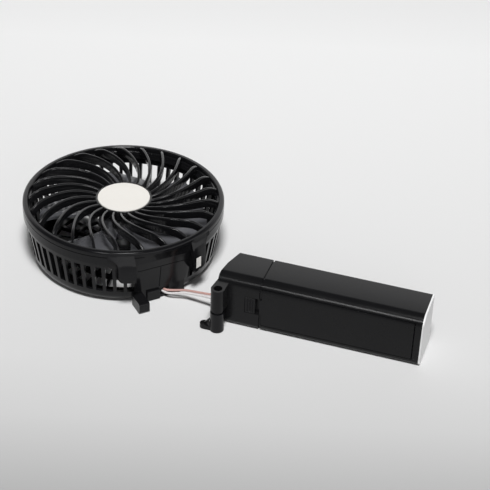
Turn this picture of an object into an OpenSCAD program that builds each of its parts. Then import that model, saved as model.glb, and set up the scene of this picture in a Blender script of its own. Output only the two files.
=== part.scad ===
// Folding hand fan: round head with a spiral grille, and a battery handle parted from it at the hinge

/* [Head] */
// Outer diameter of the front ring
head_d = 104; // [96:1:116]
// Height from the rear rest face to the rim
head_h = 33; // [32:0.5:38]
// Height of the parting between rear shell and front ring
parting_z = 25.4; // [24.6:0.2:26.2]
// Wall thickness of shell and ring
head_wall = 1.8; // [1.4:0.1:2.2]
// Depth of the ring's front lip
lip_t = 2; // [1.6:0.1:2.4]
// Width of the ring's front lip
lip_w = 3; // [2.6:0.1:3.6]
// Rounding of the rim's outer edge
rim_round = 1.5; // [0.8:0.1:1.8]
// Step between the ring and the rear shell below it
shell_step = 0.4; // [0.2:0.1:0.8]
// Inward lean of the rear shell's wall
wall_lean = 3.2; // [2:0.1:4]
// Height of the rounded foot of the wall
foot_h = 6.4; // [5:0.2:8]
// Inset of the rest face from the wall's foot
foot_in = 5; // [3:0.2:6]
// Distance of the fine line round the ring from its rim
line_drop = 3; // [2.4:0.1:4]
// Width and depth of that line
line_w = 0.4; // [0.3:0.1:0.6]

/* [Lugs and recess] */
// Gap between the two lugs, which takes the handle's end
recess_w = 31; // [29:0.5:33]
// Offset of the recess from the head's middle plane
recess_shift = -0.5; // [-1:0.1:1]
// Width of the left lug
left_lug_w = 8.2; // [7:0.2:10]
// Width of the right lug
lug_w = 8.4; // [6:0.2:9]
// How far the lug faces stand out of the ring
lug_out = 2.6; // [1.4:0.1:3]
// How much the lugs widen where they meet the ring
lug_flare = 4; // [2:0.2:5]
// Lower edge of the right lug's face
lug_low = 14.4; // [13:0.2:18]
// Upper edge of the lugs' faces
lug_high = 26.4; // [25:0.2:28]
// How much higher the left lug's lower edge lies
lug_rise = 2.2; // [0:0.1:2.6]
// Rounding of the lugs' lower corners
lug_round = 2.4; // [1:0.2:3]
// Depth of the slope on top of the lugs
lug_slope = 2.8; // [2:0.2:4]
// Depth of the recess wall behind the ring's outside, at its foot
recess_in = 5; // [4:0.2:6]
// Depth of the recess wall behind the ring's outside, under the lip
recess_top_in = 1.2; // [0.6:0.1:2]
// Height of the upright foot of the recess wall
recess_foot = 6.8; // [6:0.2:8]
// Thickness of the edge left over the recess
recess_lip = 0.4; // [0.2:0.1:1]
// How much narrower the recess is below the lugs, on each side
recess_step = 1.8; // [1:0.1:2.4]
// Height of the level seam in the recess wall
seam_z = 20.6; // [18:0.2:22]
// Place of the upright seam in the recess wall
seam_x = -1.5; // [-4:0.1:2]
// Width and depth of the seams
seam_w = 0.4; // [0.3:0.1:0.6]
// Width of the pale lens in the right lug
lens_w = 3.4; // [2.6:0.2:4.4]
// Height of the pale lens
lens_h = 6.2; // [4:0.2:8]
// Depth of the lens pocket
lens_t = 1.2; // [0.8:0.1:2]
// Distance of the lens from the lug's inner and lower edges
lens_margin = 1.2; // [0.8:0.1:2]

/* [Slots] */
// Number of wall slots
slot_count = 53; // [40:1:56]
// Angle of the first slot from the recess's middle, on each side
slot_first = 19.7; // [19.6:0.1:24]
// Width of a slot
slot_w = 3.5; // [2.6:0.1:3.6]
// Lower end of the slots
slot_low = 7; // [6:0.2:9]
// Upper end of the slots
slot_high = 22.8; // [20:0.2:24]

/* [Rear grille] */
// Thickness of the rear bars
rear_t = 2.2; // [1.6:0.1:3]
// Number of rear spokes
spoke_count = 24; // [16:1:30]
// Width of a rear spoke
spoke_w = 1.7; // [1.2:0.1:2.4]
// Radius of the middle ring of the rear grille
rear_ring_r = 28; // [24:0.5:34]
// Width of the rest face round the open rear
rear_rim = 5.6; // [4.8:0.2:8]

/* [Front grille] */
// Number of vanes
vane_count = 25; // [12:1:30]
// Sweep of a vane from hub to rim, in degrees
vane_sweep = 32; // [10:1:50]
// Angle of the first vane at the hub
vane_start = 154; // [0:1:360]
// Thickness of a vane
vane_t = 1.4; // [0.9:0.1:1.8]
// Depth of a vane
vane_depth = 4.6; // [3:0.2:5]
// Height of the vanes' crest above the line from hub to hoop
vane_crest = 5.2; // [2:0.2:6]
// Outer radius of the hub cup
hub_r = 14.6; // [12:0.2:18]
// Depth of the hub cup
hub_depth = 5; // [3.6:0.2:5.4]
// Rim of the cup round the badge
hub_rim = 1; // [0.8:0.1:2]
// Thickness of the badge
badge_t = 1.2; // [0.8:0.1:2]
// Height of the hub's rim below the ring's rim
hub_drop = 0.6; // [0:0.1:1.5]
// Thickness of the hoop that carries the vanes
hoop_t = 1.8; // [1.2:0.1:2.4]
// Height of the hoop
hoop_h = 4.2; // [2.6:0.2:4.8]

/* [Motor] */
// Diameter of the motor can
motor_d = 24.4; // [20:0.2:26]
// Height of the motor can
motor_h = 9; // [7:0.5:10]
// Height of the motor's plastic end cap
motor_cap_h = 3; // [2:0.2:4]
// Diameter of the motor shaft
shaft_d = 2; // [1.5:0.1:3]
// Diameter of the bush in the can
bush_d = 6; // [5:0.2:8]
// Height of the bush above the can
bush_h = 1.6; // [1:0.1:2]
// Wall of the motor cup
cup_wall = 1.6; // [1.2:0.1:2.4]
// Height of the motor cup's wall
cup_h = 7; // [5:0.5:9]
// Spacing of the two motor screws
motor_screw_gap = 16; // [12:0.5:18]

/* [Impeller] */
// Number of blades
blade_count = 5; // [3:1:6]
// Gap between the blade tips and the recess wall
blade_gap = 1.6; // [1:0.1:6]
// Angle that a blade covers
blade_span = 62; // [40:1:66]
// Angle of the first blade's rear edge
blade_start = 188; // [0:1:360]
// Height of a blade's low edge
blade_low = 11; // [9:0.5:14]
// Height of a blade's high edge
blade_high = 23.4; // [20:0.2:24]
// Thickness of a blade
blade_t = 1.4; // [1:0.1:2]
// Outer radius of the impeller hub
fan_hub_r = 13; // [11:0.2:14]
// Wall of the impeller hub
fan_hub_wall = 1.6; // [1.2:0.1:2.2]
// Lower edge of the impeller hub
fan_hub_low = 15; // [14.6:0.1:16]
// Upper face of the impeller hub
fan_hub_top = 25; // [24:0.2:25.6]

/* [Hinge] */
// Diameter of the hinge tube on the handle
tube_d = 6.9; // [6.6:0.1:8]
// Lower end of the tube
tube_low = 12.3; // [11:0.1:13]
// Upper end of the tube
tube_high = 24.8; // [23:0.2:27]
// Diameter of the tube's free bore
bore_d = 4.4; // [4:0.1:5]
// Depth of the free bore
bore_depth = 7; // [5:0.2:7.4]
// Diameter of the hinge pin
pin_d = 3.2; // [2.6:0.1:3.6]
// Length of pin inside the tube
pin_in_tube = 5; // [4:0.2:5]
// Diameter of the knuckle that is left on the tube
knuckle_d = 7.1; // [6.8:0.1:8]
// Gap between knuckle and tube
knuckle_gap = 0.3; // [0.2:0.05:0.6]
// Width of the neck between knuckle and tube
collar_d = 5.8; // [5:0.1:6.4]
// Height of that neck
collar_h = 1.2; // [0.6:0.1:2]
// Floor of the knuckle under the pin
knuckle_floor = 2; // [1.4:0.1:3]
// Length of the knuckle's broken foot from the hinge axis
knuckle_foot = 8.8; // [7:0.2:9.4]
// Width of the broken foot
foot_w = 4.6; // [3.6:0.2:5.4]
// Height of the broken foot
foot_t = 2.2; // [1.6:0.1:3]
// Thickness of the foot's rib and web
rib_t = 0.9; // [0.7:0.1:1.4]
// Height at which the rib meets the knuckle
rib_h = 7.4; // [5:0.2:8]
// Reach of the thin web from the hinge axis
web_l = 6.2; // [4.6:0.2:6.4]
// Height of the thin web
web_h = 1.2; // [0.8:0.1:1.4]
// Width of the hinge arm left on the head
arm_w = 5.6; // [4.4:0.2:7]
// Outer side of the arm from the head's middle plane
arm_x = 16.2; // [15:0.2:17]
// Reach of the arm from the recess wall
arm_out = 9.2; // [8:0.2:11]
// Height of the arm
arm_h = 5.8; // [5:0.1:6.6]
// Rounding of the arm's end
arm_round = 1.2; // [0.6:0.1:1.6]
// Depth of the pin hole in the arm's inner side
arm_hole = 3; // [2:0.2:3.6]

/* [Handle] */
// Length of the handle
handle_l = 101; // [98:1:120]
// Width across the handle's sides
handle_w = 28; // [27.6:0.2:34]
// Thickness from the rear face to the front face
handle_t = 23.2; // [22.4:0.1:26]
// Rounding of the upper rear long edge
rear_round = 5.8; // [4:0.2:7]
// Rounding of the lower rear long edge
base_round = 2.8; // [2:0.2:4]
// Rounding of the front long edges
front_round = 1.8; // [1.6:0.1:4]
// Rounding at the far end
end_round = 1.2; // [0.8:0.1:2]
// Thickness of the pale plate on the far end
cap_t = 0.8; // [0.6:0.1:1.4]
// Depth of the plate's spigot in the shell
cap_spigot = 1.2; // [0.8:0.1:1.6]
// Wall thickness of the handle
handle_wall = 1.5; // [1.2:0.1:1.8]
// Length of the end block
block_l = 19.4; // [19:0.2:24]
// Groove between end block and shell
block_groove = 1; // [0.5:0.1:1.4]
// Depth of that groove
groove_depth = 0.8; // [0.4:0.1:1]
// Thickness of the shell's bulkhead behind the end block
bulkhead_t = 1.5; // [1.2:0.1:2]
// Gap between the battery door and the shell's far end
door_margin = 4; // [3.6:0.2:8]
// Lower edge of the battery door
door_low = 3.2; // [3:0.1:6]
// Upper edge of the battery door
door_high = 24.8; // [20:0.2:25]
// Thickness of the battery door
door_t = 1.5; // [1.2:0.1:2]
// Gap round the battery door
door_gap = 0.3; // [0.2:0.05:0.5]

/* [Latch] */
// Start of the latch pocket from the handle's hinge end
latch_x = 12; // [9:0.2:12.2]
// Length of the latch slider
latch_l = 5.2; // [4:0.2:5.4]
// Width of the latch slider
latch_w = 9.2; // [7:0.2:11]
// Depth of the latch pocket
latch_depth = 2.4; // [1.8:0.1:3]
// Travel of the latch slider
latch_travel = 2; // [1:0.1:2.4]
// Gap between the door's tongue and the latch pocket
tongue_gap = 0.2; // [0.1:0.05:0.4]

/* [Electrics] */
// Diameter of the battery cell
cell_d = 18.3; // [16:0.1:18.4]
// Room for the spring between the cell and the end contact
spring_l = 7; // [5:0.2:10]
// Free length of the contact plate's side
contact_w = 10; // [8:0.5:12]
// Side of the spring's end plate
spring_plate_w = 12.8; // [11:0.2:14]
// Diameter of the spring's wire
spring_wire_d = 0.7; // [0.5:0.1:0.9]
// Diameter of the cell's raised pole
pole_d = 6; // [5:0.2:8]
// Height of the cell's raised pole
cell_nub = 1.5; // [1:0.1:2]
// Thickness of the end contacts
contact_t = 0.5; // [0.3:0.1:0.8]
// Diameter of the power button
button_d = 10; // [8:0.2:12]
// Distance of the button's middle from the handle's hinge end
button_x = 9.8; // [9.8:0.1:10.2]
// Travel of the power button
button_travel = 1; // [0.6:0.1:1.4]
// Height of the button above the front face
button_proud = 0.6; // [0.2:0.1:1.2]
// Thickness of the circuit board
board_t = 1.2; // [0.8:0.1:1.6]
// Width of the charging socket
usb_w = 9; // [7.4:0.1:9.4]
// Height of the charging socket
usb_h = 3.3; // [2.6:0.1:3.6]
// Length of the charging socket
usb_l = 7; // [5:0.2:8]
// Diameter of the indicator lens
lamp_d = 2.4; // [1.6:0.1:3]

/* [Wires] */
// Diameter of a wire
wire_d = 1.2; // [0.8:0.1:1.4]
// Left side of the wire hole in the recess
wire_hole_x = -1; // [-2:0.2:0]
// Lower side of the wire hole
wire_hole_z = 1.6; // [1:0.1:2.2]
// Width of the wire hole in the recess
wire_hole_w = 5; // [4.4:0.2:6]
// Height of the wire hole
wire_hole_h = 4; // [3.6:0.2:5]
// Width of the plate beside the wire hole
cover_w = 7; // [5:0.2:8]
// Height of that plate
cover_h = 5.6; // [4:0.2:5.6]
// Thickness of that plate
cover_t = 1; // [0.6:0.1:1.6]

/* [Hidden] */
$fn = 64;
eps = 0.01;
// Free play of pieces that only locate each other, and radial running fit of pins
play = 0.15;
run_fit = 0.05;
head_r = head_d / 2;
shell_r = head_r - shell_step;
foot_r = shell_r - wall_lean;
base_r = foot_r - foot_in;
opening_r = head_r - lip_w;
ring_in_r = head_r - head_wall - shell_step;
lip_z = head_h - lip_t;
hoop_r = ring_in_r - play;
hoop_top = lip_z - play;
hub_z = head_h - hub_drop;
hub_low = hub_z - hub_depth;
badge_r = hub_r - hub_rim;
motor_r = motor_d / 2;
cup_r = motor_r + play + cup_wall;
cap_top = rear_t + motor_cap_h;
can_top = cap_top + motor_h;
slot_step = (360 - 2 * slot_first) / (slot_count - 1);
lug_r = head_r + lug_out;
lens_turn = asin((recess_shift + recess_w / 2 + 1.6 * lens_margin + lens_w / 2) / (head_r + lug_out));
recess_low = head_r - recess_in;
recess_high = head_r - recess_top_in;
foot_margin = 0.5;
recess_left = recess_shift - recess_w / 2;
recess_right = recess_shift + recess_w / 2;
rear_open_r = base_r - rear_rim;
blade_r = recess_low - head_wall - blade_gap;
arm_reach = recess_low + arm_out;
screw_d = 2;
screw_head_d = 3.6;
screw_head_t = 1.2;
screw_l = 7;
boss_d = 4.6;

// Where the handle lies beside the head: its rear lower corner at the hinge end, and its heading
handle_from_head = 26.2;
handle_pos = [18, -head_r - handle_from_head, 0];
handle_yaw = -45.2;
// Hinge axis in the handle's own frame
hinge_x = 0.1;
hinge_y = -6.2;
// End face of the block, from the front corner to the neck
face_front = 1.8;
face_mid = -0.9;
face_rear = -2.2;
face_round = 2.4;
// Turn of the thin web about the hinge axis
web_turn = 74;
// Share of a vane's length at which its crest lies
vane_peak = 0.8;
// Distance of the board's ends from the end block's walls
board_in = 3;
board_out = 0.6;
// Gap between the button and the indicator lens
lamp_gap = 2.4;
// Side and height of the switch body, and side of the end plate's spigot
switch_w = 6;
switch_h = 2.4;
spigot_w = 10;
shell_x = block_l + block_groove;
bay_x = shell_x + bulkhead_t;
door_x = shell_x;
shell_end = handle_l - cap_t;
door_end = handle_l - door_margin;
door_axis = door_end - door_gap - door_t / 2;
mid_z = handle_w / 2;
cell_y = handle_t - handle_wall - 0.4 - cell_d / 2;
cell_x = bay_x + contact_t + cell_nub;
bay_end = door_end - 0.6;
cell_l = bay_end - contact_t - spring_l - cell_x;
button_r = button_d / 2;
button_flange = 0.8;
board_y = handle_t - 8;
button_back = handle_t - handle_wall - play - button_flange;
latch_z0 = mid_z - latch_w / 2;
usb_y = board_y - usb_h / 2;

// Routes of the two wires from the grommet to the knuckle, measured from the recess wall
wire_from = [0, -recess_low, 0];
wire_red_route = [
    [1.6, 1, 4], [2.2, -0.4, 4], [3.8, -1.8, 4.1], [5.6, -3.2, 4.4], [7.6, -4.8, 4.9],
    [10, -6.8, 5.5], [11.8, -9.4, 6.2], [13.6, -12.2, 6.9], [15.2, -14.8, 7.6], [17, -17.4, 8.2],
    [18.6, -20, 8.8], [19.3, -22.2, 9.1], [18.8, -24.4, 9.2], [17.5, -26.4, 9.2], [15.9, -28.3, 9.1],
    [14.9, -30.2, 8.9], [14.3, -32.4, 8.7]];
wire_white_route = [
    [0.8, 1, 3], [1.5, -0.6, 2.9], [2.7, -2.4, 3], [4.4, -4, 3.4], [6.8, -5.8, 4],
    [9.4, -7.8, 4.6], [11.6, -10.4, 5.2], [13.4, -13, 5.8], [15.2, -15.6, 6.3], [16.8, -18, 6.8],
    [18, -20.4, 7.2], [18.2, -22.8, 7.4], [17.3, -25, 7.5], [16, -26.8, 7.4], [14.6, -28.6, 7.2],
    [13.7, -30.4, 6.9], [13.4, -32.4, 6.6]];

// Points of an arc about [cx, cy]
function arc(cx, cy, rx, ry, a0, a1, n) =
    [for (i = [0:n]) let (a = a0 + (a1 - a0) * i / n) [cx + rx * cos(a), cy + ry * sin(a)]];
function unit(v) = v / norm(v);
function flip(list) = [for (i = [len(list) - 1:-1:0]) list[i]];

// Tube swept along a route: one ring of sides at each point
module swept_tube(route, r, sides, side_of = [0, 0, 1]) {
    n = len(route);
    rings = [for (i = [0:n - 1])
        let (t = unit(route[min(i + 1, n - 1)] - route[max(i - 1, 0)]))
        let (a = unit(cross(t, side_of)))
        let (b = cross(a, t))
        [for (k = [0:sides - 1]) let (w = 360 * k / sides) route[i] + r * (cos(w) * a + sin(w) * b)]];
    points = [for (ring = rings) each ring];
    walls = [for (i = [0:n - 2]) for (k = [0:sides - 1])
        let (m = (k + 1) % sides)
        each [[i * sides + k, i * sides + m, (i + 1) * sides + m],
              [i * sides + k, (i + 1) * sides + m, (i + 1) * sides + k]]];
    first = [for (k = [1:sides - 2]) [0, k + 1, k]];
    z = (n - 1) * sides;
    last = [for (k = [1:sides - 2]) [z, z + k, z + k + 1]];
    polyhedron(points, concat(walls, first, last));
}

// Head

module front_ring() {
    line_z = head_h - line_drop;
    color("#1c1c1e")
    difference() {
        union() {
            rotate_extrude() polygon(concat(
                [[ring_in_r, parting_z], [head_r, parting_z], [head_r, line_z - line_w],
                    [head_r - line_w, line_z - line_w], [head_r - line_w, line_z], [head_r, line_z]],
                arc(head_r - rim_round, head_h - rim_round, rim_round, rim_round, 0, 90, 5),
                [[opening_r + 0.5, head_h], [opening_r, head_h - 0.5], [opening_r, lip_z], [ring_in_r, lip_z]]));
            for (side = [-1, 1]) lug(side);
        }
        recess_cut();
        lens_pocket(0, eps);
    }
}

// Block that flanks the handle's end: it follows the ring and has a sloped top
module lug(side) {
    inner = side > 0 ? recess_right : recess_left;
    w = side > 0 ? lug_w : left_lug_w;
    wide = w + lug_flare;
    low = side > 0 ? lug_low : lug_low + lug_rise;
    flare_z = head_h - line_drop - line_w;
    front = concat([[0, low]],
        arc(w - lug_round, low + lug_round, lug_round, lug_round, -90, 0, 6),
        arc(wide, flare_z - lug_flare, lug_flare, lug_flare, 180, 90, 6),
        [[wide, head_h], [0, head_h]]);
    difference() {
        intersection() {
            rotate_extrude() polygon([[base_r, low], [lug_r, low], [lug_r, lug_high],
                [lug_r - lug_slope, head_h - rim_round], [base_r, head_h - rim_round]]);
            rotate([90, 0, 0]) linear_extrude(head_d) polygon([for (q = front) [inner + side * q[0], q[1]]]);
        }
        translate([0, 0, parting_z]) cylinder(h = head_h, r = head_r - head_wall / 2);
        shell_core(play);
    }
}

// Solid inside the rear shell's outer wall, grown by a clearance
module shell_core(grow) {
    rotate_extrude() polygon(concat([[0, 0]], wall_outline(grow), [[0, parting_z]]));
}

// Outline of the shell's wall, from its rest face up to the parting
function wall_outline(grow) = concat(
    arc(base_r + grow, foot_h, foot_in, foot_h, -90, 0, 5), [[shell_r + grow, parting_z]]);

// Space between the lugs that takes the handle's end
module recess_cut() {
    recess_prism(recess_w - 2 * recess_step, 0, 0, lip_z - recess_lip);
    recess_prism(recess_w, 0, lug_low, lip_z - recess_lip);
}

// Wedge outside the recess wall, or outside its inner side when drawn in, between two heights
module recess_prism(width, inset, low, top) {
    intersection() {
        translate([recess_shift - width / 2, 0, 0])
        rotate([90, 0, 90])
        linear_extrude(width)
        polygon([[-recess_low + inset, -eps], [-recess_low + inset, recess_foot], [-recess_high + inset, lip_z],
            [-head_d, lip_z], [-head_d, -eps]]);
        translate([recess_shift - width, -head_d, low - eps]) cube([2 * width, head_d, top - low + eps]);
    }
}

module lens_pocket(shrink, proud) {
    rotate(lens_turn)
    translate([shrink - lens_w / 2, -lug_r - proud, lug_low + lens_margin + shrink])
    cube([lens_w - 2 * shrink, lens_t + proud, lens_h - 2 * shrink]);
}

module side_lens() {
    color("#ece6da")
    lens_pocket(run_fit, 0);
}

function vane_angle(s) = vane_sweep * (0.6 * s + 0.4 * s * s * (3 - 2 * s));
function vane_radius(s) = hub_r - hub_rim + (hoop_r - hoop_t / 2 - hub_r + hub_rim) * s;
function vane_place(s) = vane_radius(s) * [cos(vane_angle(s)), sin(vane_angle(s))];
function vane_rise(s) = s < vane_peak ? sin(90 * s / vane_peak) : cos(65 * (s - vane_peak) / (1 - vane_peak));
function vane_top(s) = hub_z - 0.3 + (hoop_top - hub_z) * s + vane_crest * vane_rise(s);

// Plan of one vane: a strip of even thickness along the spiral
module vane_plan() {
    steps = 12;
    side = [for (k = [-1, 1]) [for (i = [0:steps])
        let (s = i / steps)
        let (t = unit(vane_place(s + 0.01) - vane_place(s - 0.01)))
        vane_place(s) + k * vane_t / 2 * [-t[1], t[0]]]];
    polygon(concat(side[0], flip(side[1])));
}

module front_grille() {
    steps = 10;
    color("#161617")
    union() {
        intersection() {
            for (i = [0:vane_count - 1])
                rotate(vane_start + i * 360 / vane_count)
                translate([0, 0, hub_low - vane_crest])
                linear_extrude(head_h + 2 * vane_crest - hub_low)
                vane_plan();
            rotate_extrude() polygon(concat(
                [for (i = [0:steps]) [vane_radius(i / steps), vane_top(i / steps)]],
                [for (i = [steps:-1:0]) [vane_radius(i / steps), vane_top(i / steps) - vane_depth]]));
        }
        rotate_extrude() polygon([[0, hub_low], [hub_r, hub_low], [hub_r, hub_z], [badge_r, hub_z],
            [badge_r, hub_z - badge_t], [0, hub_z - badge_t]]);
        translate([0, 0, hoop_top - hoop_h])
        difference() {
            cylinder(h = hoop_h, r = hoop_r);
            translate([0, 0, -eps]) cylinder(h = hoop_h + 2 * eps, r = hoop_r - hoop_t);
        }
    }
}

module hub_badge() {
    color("#e8e4de")
    translate([0, 0, hub_z - badge_t])
    rotate_extrude() polygon(concat([[0, 0], [badge_r - play, 0]],
        [for (i = [0:6]) let (r = (badge_r - play) * (1 - i / 6)) [r, badge_t + 0.5 * (1 - pow(r / badge_r, 2))]]));
}

module rear_shell() {
    color("#19191b")
    union() {
        difference() {
            union() {
                difference() {
                    shell_core(0);
                    translate([0, 0, rear_t]) rotate_extrude() polygon(concat([[0, 0]],
                        arc(base_r - head_wall, foot_h - rear_t, foot_in, foot_h - rear_t, -90, 0, 5),
                        [[shell_r - head_wall, parting_z], [0, parting_z]]));
                    translate([0, 0, -eps]) cylinder(h = rear_t + 2 * eps, r = rear_open_r);
                }
                recess_wall();
            }
            recess_cut();
            wall_slots();
            wire_hole();
            recess_seams();
        }
        rear_bars();
    }
}

// Flat wall behind the recess, its foot and the floor that joins the foot to the rest face
module recess_wall() {
    narrow = recess_w - 2 * recess_step;
    inside = narrow - 2 * foot_margin;
    intersection() {
        shell_core(0);
        union() {
            recess_prism(narrow + 2 * head_wall, head_wall, 0, parting_z);
            recess_prism(recess_w + 2 * head_wall, head_wall, lug_low - head_wall, parting_z);
        }
    }
    translate([recess_shift - inside / 2, -recess_low - foot_margin, 0])
    cube([inside, head_wall + foot_margin, foot_h + foot_margin]);
    translate([recess_shift - inside / 2, -recess_low + foot_margin, 0])
    cube([inside, recess_low - base_r + foot_in, rear_t - foot_margin]);
}

// Fine seams in the recess wall, one level and one upright
module recess_seams() {
    intersection() {
        recess_prism(recess_w - 2 * recess_step, seam_w, 0, parting_z);
        union() {
            translate([recess_shift - recess_w, -head_d, seam_z]) cube([2 * recess_w, head_d, seam_w]);
            translate([seam_x, -head_d, recess_foot]) cube([seam_w, head_d, seam_z - recess_foot + eps]);
        }
    }
}

module wall_slots() {
    for (i = [0:slot_count - 1])
        rotate(-90 + slot_first + i * slot_step)
        translate([foot_r - 3 * head_wall, -slot_w / 2, slot_low])
        cube([6 * head_wall, slot_w, slot_high - slot_low]);
}

module wire_hole() {
    translate([wire_hole_x, -recess_low - eps, wire_hole_z]) cube([wire_hole_w, 2 * head_wall, wire_hole_h]);
}

// Spokes, middle ring and motor cup of the rear grille
module rear_bars() {
    difference() {
        union() {
            linear_extrude(rear_t) {
                for (i = [0:spoke_count - 1])
                    rotate((i + 0.5) * 360 / spoke_count)
                    translate([cup_r - 0.5, -spoke_w / 2])
                    square([rear_open_r - cup_r + 1, spoke_w]);
                difference() {
                    circle(rear_ring_r + spoke_w / 2);
                    circle(rear_ring_r - spoke_w / 2);
                }
            }
            cylinder(h = rear_t + cup_h, r = cup_r);
        }
        translate([0, 0, rear_t]) cylinder(h = cup_h + eps, r = motor_r + play);
        for (side = [-1, 1]) translate([side * motor_screw_gap / 2, 0, -eps]) {
            cylinder(h = rear_t + 2 * eps, d = screw_d + 2 * play);
            cylinder(h = screw_head_t + eps, d = screw_head_d + 2 * play);
        }
    }
}

// Arm of the parted hinge, with a pin hole in its inner side
module hinge_arm() {
    color("#1b1b1d")
    difference() {
        translate([-arm_x, 0, 0])
        rotate([90, 0, 90])
        linear_extrude(arm_w)
        union() {
            translate([-arm_reach + arm_round, 0]) square([arm_out - arm_round, arm_h]);
            translate([-arm_reach, arm_round]) square([arm_out, arm_h - 2 * arm_round]);
            for (z = [arm_round, arm_h - arm_round]) translate([-arm_reach + arm_round, z]) circle(arm_round);
        }
        translate([arm_w - arm_x - arm_hole, -arm_reach + arm_h / 2, arm_h / 2])
        rotate([0, 90, 0])
        cylinder(h = arm_hole + eps, d = pin_d + 2 * run_fit);
    }
}

module wire_cover() {
    color("#303033")
    translate([wire_hole_x - cover_w - play, -recess_low - cover_t, 0])
    cube([cover_w, cover_t, cover_h]);
}

module wire_grommet() {
    color("#0e0e0f")
    translate([wire_hole_x + play, -recess_low + 1, wire_hole_z + play])
    cube([wire_hole_w - 2 * play, head_wall - 1, wire_hole_h - 2 * play]);
}

module motor_cap() {
    color("#e6e2d8")
    translate([0, 0, rear_t])
    difference() {
        cylinder(h = motor_cap_h, r = motor_r);
        for (side = [-1, 1]) translate([side * motor_screw_gap / 2, 0, -eps])
            cylinder(h = motor_cap_h + 2 * eps, d = screw_d + run_fit);
        translate([0, 0, -eps]) cylinder(h = motor_cap_h + 2 * eps, d = shaft_d + 2 * play);
    }
}

module motor_can() {
    color("#b9bbbd")
    translate([0, 0, cap_top])
    difference() {
        cylinder(h = motor_h, r = motor_r);
        translate([0, 0, -eps]) cylinder(h = motor_h - 3, d = shaft_d + 2 * play);
        translate([0, 0, motor_h - 3 - 2 * eps]) cylinder(h = 3 + 3 * eps, d = bush_d);
        for (side = [-1, 1]) translate([side * motor_screw_gap / 2, 0, -eps])
            cylinder(h = screw_l, d = screw_d + run_fit);
    }
}

module motor_bush() {
    color("#a88f5a")
    translate([0, 0, can_top - 3])
    difference() {
        cylinder(h = 3 + bush_h, d = bush_d - run_fit);
        translate([0, 0, -eps]) cylinder(h = 3 + bush_h + 2 * eps, d = shaft_d + 2 * run_fit);
    }
}

module motor_screws() {
    color("#8d8f92")
    for (side = [-1, 1]) translate([side * motor_screw_gap / 2, 0, 0]) screw(screw_l);
}

// Pan head screw standing on its head
module screw(length) {
    difference() {
        union() {
            cylinder(h = screw_head_t, d = screw_head_d);
            cylinder(h = length, d = screw_d);
        }
        for (a = [0, 90]) rotate(a) translate([-screw_head_d / 3, -0.25, -eps]) cube([screw_head_d / 1.5, 0.5, 0.6]);
    }
}

module motor_shaft() {
    color("#c8cacc")
    translate([0, 0, cap_top + 1]) cylinder(h = fan_hub_top - 0.6 - cap_top - 1, d = shaft_d);
}

// One blade: a pitched, slightly dished sheet from the hub to the tip
module blade() {
    nr = 5;
    nc = 6;
    function sheet(i, j, up) =
        let (r = fan_hub_r - fan_hub_wall / 2 + (blade_r - fan_hub_r + fan_hub_wall / 2) * i / nr)
        let (c = j / nc)
        let (lead = 10 * sin(90 * i / nr))
        let (a = blade_span * c * (0.82 + 0.18 * i / nr) - lead)
        let (z = blade_low + (i == 0 ? 4.4 : 4.4 - 4.4 * i / nr) * (1 - c) + (blade_high - blade_low) * pow(c, 0.85))
        [r * cos(a), r * sin(a), z + (up ? blade_t / 2 : -blade_t / 2)];
    m = nc + 1;
    half = (nr + 1) * m;
    points = concat([for (i = [0:nr]) for (j = [0:nc]) sheet(i, j, true)],
        [for (i = [0:nr]) for (j = [0:nc]) sheet(i, j, false)]);
    top = [for (i = [0:nr - 1]) for (j = [0:nc - 1])
        let (k = i * m + j)
        each [[k, k + m, k + m + 1], [k, k + m + 1, k + 1]]];
    edge = concat([for (j = [0:nc]) j], [for (i = [1:nr]) i * m + nc],
        [for (j = [nc - 1:-1:0]) nr * m + j], [for (i = [nr - 1:-1:1]) i * m]);
    ne = len(edge);
    rim = [for (k = [0:ne - 1])
        let (p = edge[k])
        let (q = edge[(k + 1) % ne])
        each [[p, q, q + half], [p, q + half, p + half]]];
    low = [for (f = top) [f[0] + half, f[2] + half, f[1] + half]];
    polyhedron(points, [for (f = concat(top, rim, low)) flip(f)]);
}

module impeller() {
    color("#2a2a2d")
    union() {
        rotate_extrude() polygon([[shaft_d / 2 + run_fit, fan_hub_top - 6], [3, fan_hub_top - 6],
            [3, fan_hub_top - fan_hub_wall], [fan_hub_r - fan_hub_wall, fan_hub_top - fan_hub_wall],
            [fan_hub_r - fan_hub_wall, fan_hub_low], [fan_hub_r, fan_hub_low], [fan_hub_r, fan_hub_top - 1.2],
            [fan_hub_r - 1.2, fan_hub_top], [shaft_d / 2 + run_fit, fan_hub_top]]);
        for (i = [0:blade_count - 1]) rotate(blade_start + i * 360 / blade_count) blade();
    }
}

// Hinge

module in_handle() {
    translate(handle_pos) rotate(handle_yaw) children();
}

module at_hinge() {
    in_handle() translate([hinge_x, hinge_y, 0]) children();
}

module hinge_knuckle() {
    top = tube_low - knuckle_gap;
    knuckle_r = knuckle_d / 2;
    tip = foot_w / 2 - knuckle_foot;
    color("#1b1b1d")
    at_hinge()
    difference() {
        union() {
            cylinder(h = top - collar_h, d = knuckle_d);
            cylinder(h = top, d = collar_d);
            translate([tip, -foot_w / 2, 0]) cube([-tip, foot_w, foot_t]);
            translate([tip, 0, 0]) cylinder(h = foot_t, d = foot_w);
            translate([0, rib_t / 2, 0]) rotate([90, 0, 0]) linear_extrude(rib_t)
                polygon([[tip - rib_t, foot_t - rib_t / 2], [tip + rib_t / 2, foot_t - rib_t / 2],
                    [rib_t - knuckle_r, rib_h - 1.5 * rib_t], [rib_t - knuckle_r, rib_h]]);
            rotate(web_turn) translate([0, -rib_t / 2, 0]) cube([web_l, rib_t, web_h]);
        }
        translate([0, 0, knuckle_floor]) cylinder(h = top, d = pin_d + 2 * run_fit);
    }
}

module hinge_pin() {
    color("#9b9da0")
    at_hinge() translate([0, 0, knuckle_floor]) cylinder(h = tube_low + pin_in_tube - knuckle_floor, d = pin_d);
}

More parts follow.
